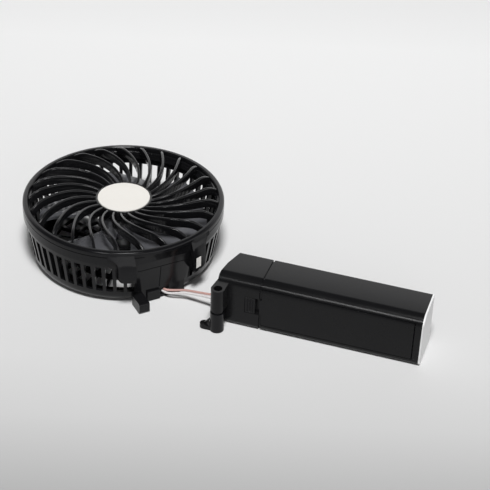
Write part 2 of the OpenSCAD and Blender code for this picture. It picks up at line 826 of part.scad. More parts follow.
module wire_red() {
    color("#b98678") translate(wire_from) swept_tube(wire_red_route, wire_d / 2, 8);
}

module wire_white() {
    color("#c9c4c0") translate(wire_from) swept_tube(wire_white_route, wire_d / 2, 8);
}

// Handle: x runs along it from the hinge end, y from the rear face to the front face

// Section across the handle, drawn in [y, z] and drawn in by an inset
module handle_section(inset) {
    a = max(rear_round - inset, 0.1);
    b = max(front_round - inset, 0.1);
    c = max(base_round - inset, 0.1);
    t = handle_t - 2 * inset;
    w = handle_w - 2 * inset;
    translate([inset, inset]) {
        translate([c, 0]) square([t - b - c, w / 2]);
        translate([a, w / 2 - eps]) square([t - a - b, w / 2 + eps]);
        translate([0, c]) square([max(a, c), w - a - c]);
        translate([t - b, b]) square([b, w - 2 * b]);
        translate([a, w - a]) circle(a);
        translate([c, c]) circle(c);
        for (z = [b, w - b]) translate([t - b, z]) circle(b);
    }
}

module along(x0, x1) {
    translate([x0, 0, 0]) rotate([90, 0, 90]) linear_extrude(x1 - x0) children();
}

// Far end of the shell with its rounded corners, seen from above
module end_plan(x0, x1, round) {
    translate([0, 0, -eps])
    linear_extrude(handle_w + 2 * eps)
    union() {
        translate([x0, 0]) square([x1 - x0 - round, handle_t]);
        translate([x0, round]) square([x1 - x0, handle_t - 2 * round]);
        for (y = [round, handle_t - round]) translate([x1 - round, y]) circle(round);
    }
}

module end_block() {
    color("#202022")
    in_handle()
    difference() {
        union() {
            intersection() {
                along(face_rear, block_l) handle_section(0);
                translate([0, 0, -eps])
                linear_extrude(handle_w + 2 * eps)
                polygon(concat([[block_l, 0], [block_l, handle_t]],
                    arc(face_front + face_round, handle_t - face_round, face_round, face_round, 90, 160, 4),
                    [[face_mid, 11.8], [face_rear, 2.7], [face_rear, 0]]));
            }
            translate([0, 0, tube_low]) linear_extrude(tube_high - tube_low)
                polygon([[hinge_x - tube_d / 2, hinge_y], [face_rear, 3], [hinge_x + tube_d / 2, 3],
                    [hinge_x + tube_d / 2, hinge_y]]);
            translate([hinge_x, hinge_y, tube_low]) cylinder(h = tube_high - tube_low, d = tube_d);
            along(block_l - eps, shell_x) handle_section(groove_depth);
        }
        difference() {
            block_room();
            for (z = [-1, 1]) screw_place(z) cylinder(h = block_l, d = boss_d);
        }
        translate([hinge_x, hinge_y, tube_low - eps])
            cylinder(h = tube_high - tube_low, d = pin_d + 2 * run_fit);
        translate([hinge_x, hinge_y, tube_high - bore_depth]) cylinder(h = bore_depth + eps, d = bore_d);
        latch_pocket();
        button_hole();
        lamp_hole(play / 2);
        usb_hole(play);
        for (z = [-1, 1]) screw_place(z) translate([0, 0, -eps]) cylinder(h = screw_l, d = screw_d + run_fit);
    }
}

// Room for the circuit board, open toward the shell
module block_room() {
    translate([face_mid + handle_wall + 2.4, latch_depth + 2 * handle_wall, handle_wall])
    cube([shell_x, handle_t - 3 * handle_wall - latch_depth, handle_w - 2 * handle_wall]);
}

module latch_pocket() {
    translate([latch_x, -eps, latch_z0 - play])
    cube([shell_x - latch_x + eps, latch_depth + eps, latch_w + 2 * play]);
}

module button_hole() {
    translate([button_x, handle_t + eps, mid_z]) rotate([90, 0, 0])
    cylinder(h = 3 * handle_wall, r = button_r + 2 * play);
}

module lamp_hole(grow) {
    translate([button_x + button_r + lamp_gap, handle_t + eps, mid_z]) rotate([90, 0, 0])
    cylinder(h = 3 * handle_wall, d = lamp_d + 2 * grow);
}

module usb_hole(grow) {
    translate([button_x - usb_w / 2 - grow, usb_y - usb_h / 2 - grow, -eps])
    cube([usb_w + 2 * grow, usb_h + 2 * grow, 3 * handle_wall]);
}

module screw_place(side) {
    translate([bay_x, handle_t - handle_wall - 2.6, mid_z + side * (mid_z - handle_wall - 2.8)])
    rotate([0, -90, 0]) children();
}

module handle_shell() {
    color("#202022")
    in_handle()
    difference() {
        intersection() {
            along(shell_x, shell_end) handle_section(0);
            end_plan(shell_x, handle_l, end_round);
        }
        along(bay_x, bay_end) handle_section(handle_wall);
        translate([door_x - eps, -eps, door_low])
            cube([door_end - door_x + eps, rear_round, door_high - door_low]);
        tongue(door_gap);
        cap_spigot_block(play);
        for (z = [-1, 1]) screw_place(z) translate([0, 0, -eps])
            cylinder(h = bulkhead_t + 2 * eps, d = screw_d + 2 * play);
    }
}

// Spigot of the end plate, or its pocket when grown by a gap
module cap_spigot_block(grow) {
    side = spigot_w + 2 * grow;
    translate([shell_end - cap_spigot - grow, handle_t / 2 - side / 2, mid_z - side / 2])
    cube([cap_spigot + grow + eps, side, side]);
}

// Pale plate that closes the far end
module end_cap() {
    color("#dcdbd8")
    in_handle()
    union() {
        intersection() {
            along(shell_end, handle_l) handle_section(0);
            end_plan(shell_x, handle_l, end_round);
        }
        cap_spigot_block(0);
    }
}

// Battery door with a round hinge edge at its far end
module battery_door() {
    z0 = door_low + door_gap;
    tall = door_high - door_low - 2 * door_gap;
    color("#232325")
    in_handle()
    union() {
        intersection() {
            difference() {
                along(door_x, door_axis) handle_section(0);
                along(door_x - eps, door_axis + eps) handle_section(door_t);
            }
            translate([door_x + door_gap, -eps, z0]) cube([door_axis - door_x, rear_round, tall]);
        }
        intersection() {
            along(door_x, door_end) handle_section(0);
            translate([door_axis, door_t / 2, z0]) cylinder(h = tall, d = door_t);
        }
        tongue(0);
    }
}

// Tongue of the door that reaches over the bulkhead, or its notch when grown by a gap
module tongue(grow) {
    x0 = block_l + tongue_gap - grow;
    translate([x0, -grow, latch_z0 + 2 * play - grow])
    cube([door_x + 2 * door_gap - x0, door_t + 2 * grow, latch_w - 4 * play + 2 * grow]);
}

module door_latch() {
    ridge = 0.5;
    color("#262629")
    in_handle()
    translate([latch_x + play, 0, latch_z0])
    difference() {
        cube([latch_l, latch_depth, latch_w]);
        for (i = [1:3]) translate([i * latch_l / 4 - ridge / 2, -eps, 1]) cube([ridge, 0.4, latch_w - 2]);
    }
}

module battery_cell() {
    color("#3f6ea8")
    in_handle()
    translate([cell_x, cell_y, mid_z]) rotate([0, 90, 0])
    union() {
        rotate_extrude() polygon(concat([[0, 0]], arc(cell_d / 2 - 0.8, 0.8, 0.8, 0.8, -90, 0, 3),
            arc(cell_d / 2 - 0.8, cell_l - 0.8, 0.8, 0.8, 0, 90, 3), [[0, cell_l]]));
        translate([0, 0, -cell_nub]) cylinder(h = cell_nub + eps, d = pole_d);
    }
}

module contact_plate() {
    color("#d3d4d5")
    in_handle()
    translate([bay_x, cell_y - contact_w / 2, mid_z - contact_w / 2]) cube([contact_t, contact_w, contact_w]);
}

// Conical spring contact against the cell's flat end
module contact_spring() {
    turns = 4;
    steps = 10;
    x0 = cell_x + cell_l + spring_wire_d / 2 + play;
    plate = spring_plate_w;
    x1 = bay_end - contact_t;
    route = [for (i = [0:turns * steps])
        let (s = i / turns / steps)
        let (r = plate / 2 * (0.53 + 0.34 * s))
        [x0 + (x1 - x0) * s, cell_y + r * cos(360 * turns * s), mid_z + r * sin(360 * turns * s)]];
    color("#c9cbcd")
    in_handle()
    union() {
        swept_tube(route, spring_wire_d / 2, 6, [1, 0, 0]);
        translate([bay_end - contact_t, cell_y - plate / 2, mid_z - plate / 2]) cube([contact_t, plate, plate]);
    }
}

module circuit_board() {
    color("#1f5a35")
    in_handle()
    translate([face_mid + handle_wall + board_in, board_y, handle_wall + play])
    cube([block_l - face_mid - handle_wall - board_in - board_out, board_t, handle_w - 2 * handle_wall - 2 * play]);
}

module usb_socket() {
    color("#bfc1c3")
    in_handle()
    translate([button_x, usb_y, 0.6])
    difference() {
        linear_extrude(usb_l) usb_outline(0);
        translate([0, 0, -eps]) linear_extrude(usb_l - 0.6) difference() {
            usb_outline(0.35);
            translate([-usb_w / 3, -0.35]) square([usb_w / 1.5, 0.7]);
        }
    }
}

module usb_outline(inset) {
    r = usb_h / 2 - inset;
    translate([-usb_w / 2 + usb_h / 2, -r]) square([usb_w - usb_h, 2 * r]);
    for (side = [-1, 1]) translate([side * (usb_w - usb_h) / 2, 0]) circle(r);
}

module power_switch() {
    color("#4a4a4d")
    in_handle()
    translate([button_x, board_y + board_t, mid_z]) {
        translate([-switch_w / 2, 0, -switch_w / 2]) cube([switch_w, switch_h, switch_w]);
        rotate([-90, 0, 0]) cylinder(h = button_back - board_y - board_t - button_travel - play, r = 1.6);
    }
}

module power_button() {
    color("#2b2b2e")
    in_handle()
    translate([button_x, button_back, mid_z]) rotate([-90, 0, 0])
    rotate_extrude() polygon(concat([[0, 0], [button_r + button_flange, 0],
        [button_r + button_flange, button_flange], [button_r, button_flange]],
        arc(button_r - 0.8, handle_t + button_proud - button_back - 0.8, 0.8, 0.8, 0, 90, 4),
        [[0, handle_t + button_proud - button_back - 0.3]]));
}

module indicator_lens() {
    color("#dfe6ee")
    in_handle()
    translate([button_x + button_r + lamp_gap, board_y + board_t, mid_z]) rotate([-90, 0, 0])
    cylinder(h = handle_t - board_y - board_t, d = lamp_d);
}

module handle_screws() {
    color("#8d8f92")
    in_handle()
    for (z = [-1, 1]) screw_place(z) translate([0, 0, -screw_head_t]) screw(screw_l);
}

front_ring();
front_grille();
hub_badge();
side_lens();
rear_shell();
hinge_arm();
wire_cover();
wire_grommet();
motor_can();
motor_cap();
motor_bush();
motor_screws();
motor_shaft();
impeller();
hinge_knuckle();
hinge_pin();
wire_red();
wire_white();
end_block();
handle_shell();
end_cap();
battery_door();
door_latch();
battery_cell();
contact_spring();
contact_plate();
circuit_board();
usb_socket();
power_switch();
power_button();
indicator_lens();
handle_screws();
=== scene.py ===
import bpy
import math
import numpy as np
from mathutils import Matrix


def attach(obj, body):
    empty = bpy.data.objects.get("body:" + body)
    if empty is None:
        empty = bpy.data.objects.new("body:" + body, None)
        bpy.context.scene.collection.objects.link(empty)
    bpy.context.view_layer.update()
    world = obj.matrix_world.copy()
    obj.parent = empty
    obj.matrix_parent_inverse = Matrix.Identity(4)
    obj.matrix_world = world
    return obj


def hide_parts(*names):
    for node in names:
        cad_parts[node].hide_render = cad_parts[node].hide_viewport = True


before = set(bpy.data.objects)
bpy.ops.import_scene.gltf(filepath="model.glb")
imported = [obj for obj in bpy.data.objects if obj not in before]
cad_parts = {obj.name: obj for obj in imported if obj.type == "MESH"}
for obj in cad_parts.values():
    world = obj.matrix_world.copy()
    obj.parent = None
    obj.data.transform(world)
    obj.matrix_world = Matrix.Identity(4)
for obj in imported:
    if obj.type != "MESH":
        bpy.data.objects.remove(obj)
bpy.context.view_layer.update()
scene = bpy.context.scene
scene.view_settings.view_transform = "Standard"
mm = 0.001
print("frame loaded", len(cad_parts), "nodes")

# camera solved from the photograph: place, right, up and forward in the row frame, in metres,
# with lens and sensor in millimetres
photoCamera = {
    "place": (-0.267708, -0.626466, 0.473392),
    "right": (0.88953, -0.45554, 0.03494),
    "up": (0.23343, 0.51889, 0.82235),
    "forward": (0.39275, 0.72335, -0.56790),
    "lens": 114.928, "sensor": 36, "clip": (0.02, 20),
}


def makeCamera(c):
    data = bpy.data.cameras.new("photoCamera")
    data.sensor_width = c["sensor"]
    data.lens = c["lens"]
    data.clip_start, data.clip_end = c["clip"]
    obj = bpy.data.objects.new("photoCamera", data)
    scene.collection.objects.link(obj)
    r, u, f, p = c["right"], c["up"], c["forward"], c["place"]
    obj.matrix_world = Matrix([[r[i], u[i], -f[i], p[i]] for i in range(3)] + [[0, 0, 0, 1]])
    scene.camera = obj


makeCamera(photoCamera)
print("camera set")


# meshes

def addPiece(name, verts, faces, body):
    mesh = bpy.data.meshes.new(name)
    mesh.from_pydata([tuple(v) for v in verts], [], [tuple(int(i) for i in f) for f in faces])
    mesh.update()
    mesh.polygons.foreach_set("use_smooth", [True] * len(mesh.polygons))
    obj = bpy.data.objects.new(name, mesh)
    scene.collection.objects.link(obj)
    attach(obj, body)
    return obj


# quads of an n by m grid of points, closed along either way on request
def gridFaces(n, m, wrapN=False, wrapM=False):
    i, j = np.meshgrid(np.arange(n if wrapN else n - 1), np.arange(m if wrapM else m - 1), indexing="ij")
    i2, j2 = (i + 1) % n, (j + 1) % m
    return np.stack([i * m + j, i2 * m + j, i2 * m + j2, i * m + j2], -1).reshape(-1, 4)


# materials: every map reads object coordinates, in metres

# scales are waves to the metre, speckEdge is where a dust speck fades out, cloudSpan the part of the cloud that counts
mould = {
    "fine": 2600.0, "fineDetail": 2, "broad": 70.0, "broadDetail": 5, "broadRough": 0.6,
    "speckScale": 420, "speckEdge": (0.03, 0.07), "dust": (0.2, 0.19, 0.18), "dusty": 0.1,
    "cloudSpan": (0.3, 0.7), "bumpDepth": 0.00005, "specular": 0.5,
}


def setRange(node, source, target):
    for socket, value in zip(("From Min", "From Max", "To Min", "To Max"), (*source, *target)):
        node.inputs[socket].default_value = value


def grainGroup(g):
    tree = bpy.data.node_groups.new("mouldGrain", "ShaderNodeTree")
    face = tree.interface
    for name, value in (("Fine", g["fine"]), ("Broad", g["broad"])):
        socket = face.new_socket(name=name, in_out="INPUT", socket_type="NodeSocketFloat")
        socket.default_value = value
    for name in ("Grain", "Cloud", "Specks"):
        face.new_socket(name=name, in_out="OUTPUT", socket_type="NodeSocketFloat")
    n, link = tree.nodes, tree.links.new
    inp, out = n.new("NodeGroupInput"), n.new("NodeGroupOutput")
    coord = n.new("ShaderNodeTexCoord")
    fine = n.new("ShaderNodeTexNoise")
    fine.inputs["Detail"].default_value = g["fineDetail"]
    cloud = n.new("ShaderNodeTexNoise")
    cloud.inputs["Detail"].default_value = g["broadDetail"]
    cloud.inputs["Roughness"].default_value = g["broadRough"]
    specks = n.new("ShaderNodeTexVoronoi")
    specks.inputs["Scale"].default_value = g["speckScale"]
    dust = n.new("ShaderNodeMapRange")
    setRange(dust, g["speckEdge"], (1, 0))
    for tex in (fine, cloud, specks):
        link(coord.outputs["Object"], tex.inputs["Vector"])
    link(inp.outputs["Fine"], fine.inputs["Scale"])
    link(inp.outputs["Broad"], cloud.inputs["Scale"])
    link(specks.outputs["Distance"], dust.inputs["Value"])
    link(fine.outputs["Fac"], out.inputs["Grain"])
    link(cloud.outputs["Fac"], out.inputs["Cloud"])
    link(dust.outputs["Result"], out.inputs["Specks"])
    return tree


grain = grainGroup(mould)


# moulded plastic or plain metal: cloudy tone, uneven gloss, a fine mould texture and a few dust specks
def surface(name, s):
    mat = bpy.data.materials.new(name)
    mat.use_nodes = True
    n, link = mat.node_tree.nodes, mat.node_tree.links.new
    shader = n["Principled BSDF"]
    shader.inputs["Metallic"].default_value = s.get("metal", 0)
    shader.inputs["Specular IOR Level"].default_value = s.get("specular", mould["specular"])
    mask = n.new("ShaderNodeGroup")
    mask.node_tree = grain
    mask.inputs["Fine"].default_value = s.get("fine", mould["fine"])
    mask.inputs["Broad"].default_value = s.get("broad", mould["broad"])
    tone = n.new("ShaderNodeMix")
    tone.data_type = "RGBA"
    tone.inputs["A"].default_value = (*s["dark"], 1)
    tone.inputs["B"].default_value = (*s["light"], 1)
    link(mask.outputs["Cloud"], tone.inputs["Factor"])
    dusty = n.new("ShaderNodeMix")
    dusty.data_type = "RGBA"
    dusty.inputs["B"].default_value = (*mould["dust"], 1)
    amount = n.new("ShaderNodeMath")
    amount.operation = "MULTIPLY"
    amount.inputs[1].default_value = mould["dusty"]
    link(mask.outputs["Specks"], amount.inputs[0])
    link(amount.outputs[0], dusty.inputs["Factor"])
    link(tone.outputs["Result"], dusty.inputs["A"])
    link(dusty.outputs["Result"], shader.inputs["Base Color"])
    rough = n.new("ShaderNodeMapRange")
    setRange(rough, mould["cloudSpan"], s["rough"])
    link(mask.outputs["Cloud"], rough.inputs["Value"])
    link(rough.outputs["Result"], shader.inputs["Roughness"])
    bump = n.new("ShaderNodeBump")
    bump.inputs["Strength"].default_value = s["bump"]
    bump.inputs["Distance"].default_value = mould["bumpDepth"]
    link(mask.outputs["Grain"], bump.inputs["Height"])
    link(bump.outputs["Normal"], shader.inputs["Normal"])
    return mat


looks = {
    "shellBlack": {"dark": (0.005, 0.005, 0.0055), "light": (0.007, 0.007, 0.008), "rough": (0.14, 0.2),
                   "specular": 0.21, "bump": 0.08},
    "grilleBlack": {"dark": (0.004, 0.004, 0.0045), "light": (0.007, 0.007, 0.0078), "rough": (0.12, 0.18),
                    "specular": 0.4, "bump": 0.05},
    # impeller blades: dark plastic whose grey is raised to paint the sheen of the light reflected on them
    "bladeGreyPaintedSheen": {"dark": (0.075, 0.076, 0.083), "light": (0.095, 0.096, 0.104), "rough": (0.2, 0.28),
                   "specular": 0.6, "bump": 0.05},
    "handleSatin": {"dark": (0.005, 0.005, 0.0055), "light": (0.007, 0.007, 0.0075), "rough": (0.18, 0.24),
                    "specular": 0.19, "bump": 0.08, "fine": 3800},
    "endPale": {"dark": (0.72, 0.72, 0.72), "light": (0.78, 0.78, 0.78), "rough": (0.35, 0.45), "bump": 0.05},
    "badgePale": {"dark": (0.70, 0.68, 0.64), "light": (0.76, 0.74, 0.70), "rough": (0.4, 0.5), "bump": 0.06},
    "lensPale": {"dark": (0.93, 0.91, 0.87), "light": (0.96, 0.94, 0.90), "rough": (0.3, 0.4), "bump": 0.05},
    "capPale": {"dark": (0.60, 0.57, 0.50), "light": (0.68, 0.65, 0.58), "rough": (0.45, 0.55), "bump": 0.1},
    "grommetRubber": {"dark": (0.008, 0.008, 0.008), "light": (0.014, 0.014, 0.014), "rough": (0.6, 0.75),
                      "specular": 0.3, "bump": 0.3},
    "plainSteel": {"dark": (0.46, 0.47, 0.48), "light": (0.58, 0.59, 0.60), "rough": (0.26, 0.4), "metal": 1,
                   "bump": 0.1},
    "bushBronze": {"dark": (0.36, 0.25, 0.11), "light": (0.46, 0.33, 0.16), "rough": (0.4, 0.55), "metal": 1,
                   "bump": 0.25},
    "sleeveRed": {"dark": (0.46, 0.26, 0.23), "light": (0.52, 0.33, 0.30), "rough": (0.42, 0.55), "broad": 220,
                  "bump": 0.1},
    "sleevePale": {"dark": (0.58, 0.56, 0.56), "light": (0.66, 0.64, 0.64), "rough": (0.42, 0.55), "broad": 220,
                   "bump": 0.1},
    "cellBlue": {"dark": (0.03, 0.12, 0.33), "light": (0.05, 0.17, 0.42), "rough": (0.25, 0.35), "bump": 0.08},
    "boardGreen": {"dark": (0.012, 0.075, 0.03), "light": (0.02, 0.11, 0.045), "rough": (0.35, 0.5), "bump": 0.2,
                   "fine": 900},
    "lampClear": {"dark": (0.62, 0.68, 0.78), "light": (0.7, 0.76, 0.85), "rough": (0.12, 0.2), "bump": 0.03},
    "buttonBlack": {"dark": (0.010, 0.010, 0.011), "light": (0.015, 0.015, 0.016), "rough": (0.4, 0.5),
                    "specular": 0.4, "bump": 0.25},
}
mats = {name: surface(name, s) for name, s in looks.items()}

nodeLooks = {
    "front_ring": "shellBlack", "front_grille": "grilleBlack", "hub_badge": "badgePale", "side_lens": "lensPale",
    "rear_shell": "shellBlack", "hinge_arm": "shellBlack", "wire_cover": "shellBlack",
    "wire_grommet": "grommetRubber", "motor_can": "plainSteel", "motor_cap": "capPale", "motor_bush": "bushBronze",
    "motor_screws": "plainSteel", "motor_shaft": "plainSteel", "impeller": "bladeGreyPaintedSheen",
    "hinge_knuckle": "shellBlack", "hinge_pin": "plainSteel", "wire_red": "sleeveRed", "wire_white": "sleevePale",
    "end_block": "handleSatin", "handle_shell": "handleSatin", "end_cap": "endPale", "battery_door": "handleSatin",
    "door_latch": "handleSatin", "battery_cell": "cellBlue", "contact_spring": "plainSteel",
    "contact_plate": "plainSteel", "circuit_board": "boardGreen", "usb_socket": "plainSteel",
    "power_switch": "buttonBlack", "power_button": "buttonBlack", "indicator_lens": "lampClear",
    "handle_screws": "plainSteel",
}
for name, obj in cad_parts.items():
    obj.data.materials.clear()
    obj.data.materials.append(mats[nodeLooks[name]])
print("materials set", len(mats))


# rounded edges on the moulded solids, in millimetres and degrees: corners are welded first, since the solids come as
# loose triangles, shading runs smoothly below crispFrom, and edges sharper than roundFrom get a small bevel
edgeWork = {
    "weld": 0.002, "crispFrom": 30, "roundFrom": 42, "segments": 2,
    "width": {"front_ring": 0.35, "rear_shell": 0.25, "hinge_arm": 0.3, "wire_cover": 0.2, "hinge_knuckle": 0.3,
              "end_block": 0.3, "handle_shell": 0.25, "battery_door": 0.2, "door_latch": 0.2, "side_lens": 0.15},
}


def smoothGroup(e):
    tree = bpy.data.node_groups.new("smoothShade", "GeometryNodeTree")
    tree.is_modifier = True
    for way in ("INPUT", "OUTPUT"):
        tree.interface.new_socket(name="Geometry", in_out=way, socket_type="NodeSocketGeometry")
    n, link = tree.nodes, tree.links.new
    inp, out = n.new("NodeGroupInput"), n.new("NodeGroupOutput")
    free = n.new("GeometryNodeRemoveAttribute")
    free.inputs["Name"].default_value = "custom_normal"
    faces, edges = n.new("GeometryNodeSetShadeSmooth"), n.new("GeometryNodeSetShadeSmooth")
    faces.domain, edges.domain = "FACE", "EDGE"
    angle = n.new("GeometryNodeInputMeshEdgeAngle")
    soft = n.new("FunctionNodeCompare")
    soft.data_type = "FLOAT"
    soft.operation = "LESS_EQUAL"
    soft.inputs["B"].default_value = math.radians(e["crispFrom"])
    link(angle.outputs["Unsigned Angle"], soft.inputs["A"])
    link(soft.outputs["Result"], edges.inputs["Shade Smooth"])
    link(inp.outputs["Geometry"], free.inputs["Geometry"])
    link(free.outputs["Geometry"], faces.inputs["Geometry"])
    link(faces.outputs["Geometry"], edges.inputs["Geometry"])
    link(edges.outputs["Geometry"], out.inputs["Geometry"])
    return tree


smoothShade = smoothGroup(edgeWork)


def roundEdges(name, width, e):
    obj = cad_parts[name]
    weld = obj.modifiers.new("weldCorners", "WELD")
    weld.merge_threshold = e["weld"] * mm
    obj.modifiers.new("smoothShade", "NODES").node_group = smoothShade
    bevel = obj.modifiers.new("roundEdge", "BEVEL")
    bevel.width = width * mm
    bevel.segments = e["segments"]
    bevel.limit_method = "ANGLE"
    bevel.angle_limit = math.radians(e["roundFrom"])
    bevel.harden_normals = True


for name, width in edgeWork["width"].items():
    roundEdges(name, width, edgeWork)
print("edges rounded", len(edgeWork["width"]))


# front grille: swept vanes with a rounded upper edge, the hub cup and the hoop that carries them,
# in millimetres and degrees; foot is the share of the thickness that is left at a vane's lower edge
grilleShape = {
    "vanes": 25, "sweep": 32, "bend": 0.4, "start": 154, "thick": 1.45, "foot": 0.7, "depth": 4.6,
    "crest": 5.2, "peak": 0.8, "fall": 65, "sink": 0.3, "steps": 40, "edgePoints": 9,
    "hubR": 14.6, "hubRim": 1.0, "hubTop": 32.4, "hubLow": 27.4, "hubChamfer": 0.6, "rimPoints": 7,
    "badgeDrop": 1.2, "badgeBed": 0.4, "core": 0.05,
    "hoopR": 49.65, "hoopT": 1.8, "hoopTop": 30.85, "hoopH": 4.2, "hoopChamfer": 0.5,
    "around": 96, "cornerFrom": 50,
}


# vane k at share t of its length: r = inner + span t, angle = sweep ((1 - bend) t + bend t^2 (3 - 2 t)),
# top = line from hub to hoop + crest * rise, where rise is a sine up to the peak and a cosine after it;
# the section is an upright strip whose upper edge is a half circle
def vaneSurface(g):
    t = np.linspace(0, 1, g["steps"])
    inner = g["hubR"] - g["hubRim"]
    outer = g["hoopR"] - g["hoopT"] / 2
    r = inner + (outer - inner) * t
    a = np.radians(g["sweep"] * ((1 - g["bend"]) * t + g["bend"] * t * t * (3 - 2 * t)))
    rise = np.where(t < g["peak"], np.sin(np.pi / 2 * t / g["peak"]),
                    np.cos(np.radians(g["fall"]) * (t - g["peak"]) / (1 - g["peak"])))
    top = g["hubTop"] - g["sink"] + (g["hoopTop"] - g["hubTop"]) * t + g["crest"] * rise
    x, y = r * np.cos(a), r * np.sin(a)
    tx, ty = np.gradient(x), np.gradient(y)
    size = np.hypot(tx, ty)
    nx, ny = -ty / size, tx / size
    half = g["thick"] / 2
    w = np.radians(np.linspace(0, 180, g["edgePoints"]))
    off = np.concatenate([half * np.cos(w), [-half * g["foot"], half * g["foot"]]])
    down = np.concatenate([half * np.sin(w) - half, [-g["depth"], -g["depth"]]])
    one = np.stack([x[:, None] + nx[:, None] * off, y[:, None] + ny[:, None] * off, top[:, None] + down], -1)
    turn = np.radians(g["start"] + np.arange(g["vanes"]) * 360 / g["vanes"])
    c, s = np.cos(turn)[:, None, None], np.sin(turn)[:, None, None]
    verts = np.stack([one[..., 0] * c - one[..., 1] * s, one[..., 0] * s + one[..., 1] * c,
                      np.broadcast_to(one[..., 2], (g["vanes"],) + one.shape[:2])], -1)
    n, m = one.shape[:2]
    faces = gridFaces(n, m, wrapM=True)[:, ::-1]
    ends = [list(range(m))[::-1], [(n - 1) * m + i for i in range(m)]]
    allFaces = []
    for k in range(g["vanes"]):
        allFaces += (faces + k * n * m).tolist() + [[i + k * n * m for i in e] for e in ends]
    return verts.reshape(-1, 3), allFaces


# closed profile of (r, z) points turned about the axis; the profile runs so that its left side is inside
def lathe(profile, count):
    p = np.array(profile, float)
    a = np.linspace(0, 2 * np.pi, count, endpoint=False)
    verts = np.stack([np.cos(a)[:, None] * p[:, 0], np.sin(a)[:, None] * p[:, 0],
                      np.broadcast_to(p[:, 1], (count, len(p)))], -1)
    return verts.reshape(-1, 3), gridFaces(count, len(p), wrapN=True, wrapM=True).tolist()


def makeGrille(g):
    verts, faces = vaneSurface(g)
    hubR, rim, top, low = g["hubR"], g["hubRim"], g["hubTop"], g["hubLow"]
    core, cut, bed = g["core"], g["hubChamfer"], top - g["badgeDrop"] - g["badgeBed"]
    w = np.radians(np.linspace(0, 180, g["rimPoints"]))
    crown = np.column_stack([hubR - rim / 2 + rim / 2 * np.cos(w), top - rim / 2 + rim / 2 * np.sin(w)])
    cup = [(core, low), (hubR - cut, low), (hubR, low + cut)] + crown.tolist() + [(hubR - rim, bed), (core, bed)]
    outer, inner, over, cut = g["hoopR"], g["hoopR"] - g["hoopT"], g["hoopTop"], g["hoopChamfer"]
    under = over - g["hoopH"]
    hoop = [(inner, under), (outer, under), (outer, over), (inner + cut, over), (inner, over - cut)]
    for profile in (cup, hoop):
        v, f = lathe(profile, g["around"])
        faces += [[i + len(verts) for i in q] for q in f]
        verts = np.vstack([verts, v])
    obj = addPiece("spiralGrille", verts * mm, faces, "head")
    obj.data.materials.append(mats["grilleBlack"])
    sharp = obj.modifiers.new("keepCorners", "EDGE_SPLIT")
    sharp.split_angle = math.radians(g["cornerFrom"])
    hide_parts("front_grille")


makeGrille(grilleShape)
print("grille built")


# wires: the routes of the CAD solids, in millimetres, smoothed through their points

wires = {
    "wireRed": {
        "node": "wire_red", "look": "sleeveRed", "slot": "red_sleeve",
        "route": [(1.6, -46, 4), (2.2, -47.4, 4), (3.8, -48.8, 4.1), (5.6, -50.2, 4.4), (7.6, -51.8, 4.9),
                  (10, -53.8, 5.5), (11.8, -56.4, 6.2), (13.6, -59.2, 6.9), (15.2, -61.8, 7.6), (17, -64.4, 8.2),
                  (18.6, -67, 8.8), (19.3, -69.2, 9.1), (18.8, -71.4, 9.2), (17.5, -73.4, 9.2), (15.9, -75.3, 9.1),
                  (14.9, -77.2, 8.9), (14.3, -79.4, 8.7)],
    },
    "wireWhite": {
        "node": "wire_white", "look": "sleevePale", "slot": "pale_sleeve",
        "route": [(0.8, -46, 3), (1.5, -47.6, 2.9), (2.7, -49.4, 3), (4.4, -51, 3.4), (6.8, -52.8, 4),
                  (9.4, -54.8, 4.6), (11.6, -57.4, 5.2), (13.4, -60, 5.8), (15.2, -62.6, 6.3), (16.8, -65, 6.8),
                  (18, -67.4, 7.2), (18.2, -69.8, 7.4), (17.3, -72, 7.5), (16, -73.8, 7.4), (14.6, -75.6, 7.2),
                  (13.7, -77.4, 6.9), (13.4, -79.4, 6.6)],
    },
}
wireSize = 0.0012
wireSteps, wireSides = 3, 4  # steps to a span of the route, and roundness of the section


# Catmull-Rom curve through the points, with the end points mirrored outwards
def smoothRoute(points, steps):
    p = np.array(points, float) * mm
    q = np.vstack([2 * p[0] - p[1], p, 2 * p[-1] - p[-2]])
    out = []
    for i in range(1, len(q) - 2):
        for k in range(steps):
            t = k / steps
            out.append(0.5 * (2 * q[i] + (q[i + 1] - q[i - 1]) * t
                              + (2 * q[i - 1] - 5 * q[i] + 4 * q[i + 1] - q[i + 2]) * t * t
                              + (3 * q[i] - q[i - 1] - 3 * q[i + 1] + q[i + 2]) * t ** 3))
    return np.array(out + [p[-1]])


def makeWire(name, s):
    route = smoothRoute(s["route"], wireSteps)
    curve = bpy.data.curves.new(name, "CURVE")
    curve.dimensions = "3D"
    curve.bevel_depth = wireSize / 2
    curve.bevel_resolution = wireSides
    curve.use_fill_caps = True
    line = curve.splines.new("POLY")
    line.points.add(len(route) - 1)
    line.points.foreach_set("co", np.column_stack([route, np.ones(len(route))]).ravel())
    line.use_smooth = True
    curve.materials.append(mats[s["look"]])
    obj = bpy.data.objects.new(name, curve)
    scene.collection.objects.link(obj)
    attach(obj, "head")
    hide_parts(s["node"])


for name, s in wires.items():
    makeWire(name, s)
print("wires laid")


# stage: pale table whose grey is painted darker towards the camera, painted shade for the light falling off across it;
# its tones are (metres from the origin the way the camera faces, grey)
table = {
    "half": 4.0, "height": -0.0002, "rough": 0.7, "specular": 0.1,
    "paintedShadeTones": [(-0.19, 0.36), (-0.135, 0.53), (-0.09, 0.612), (0.24, 0.94)],
}


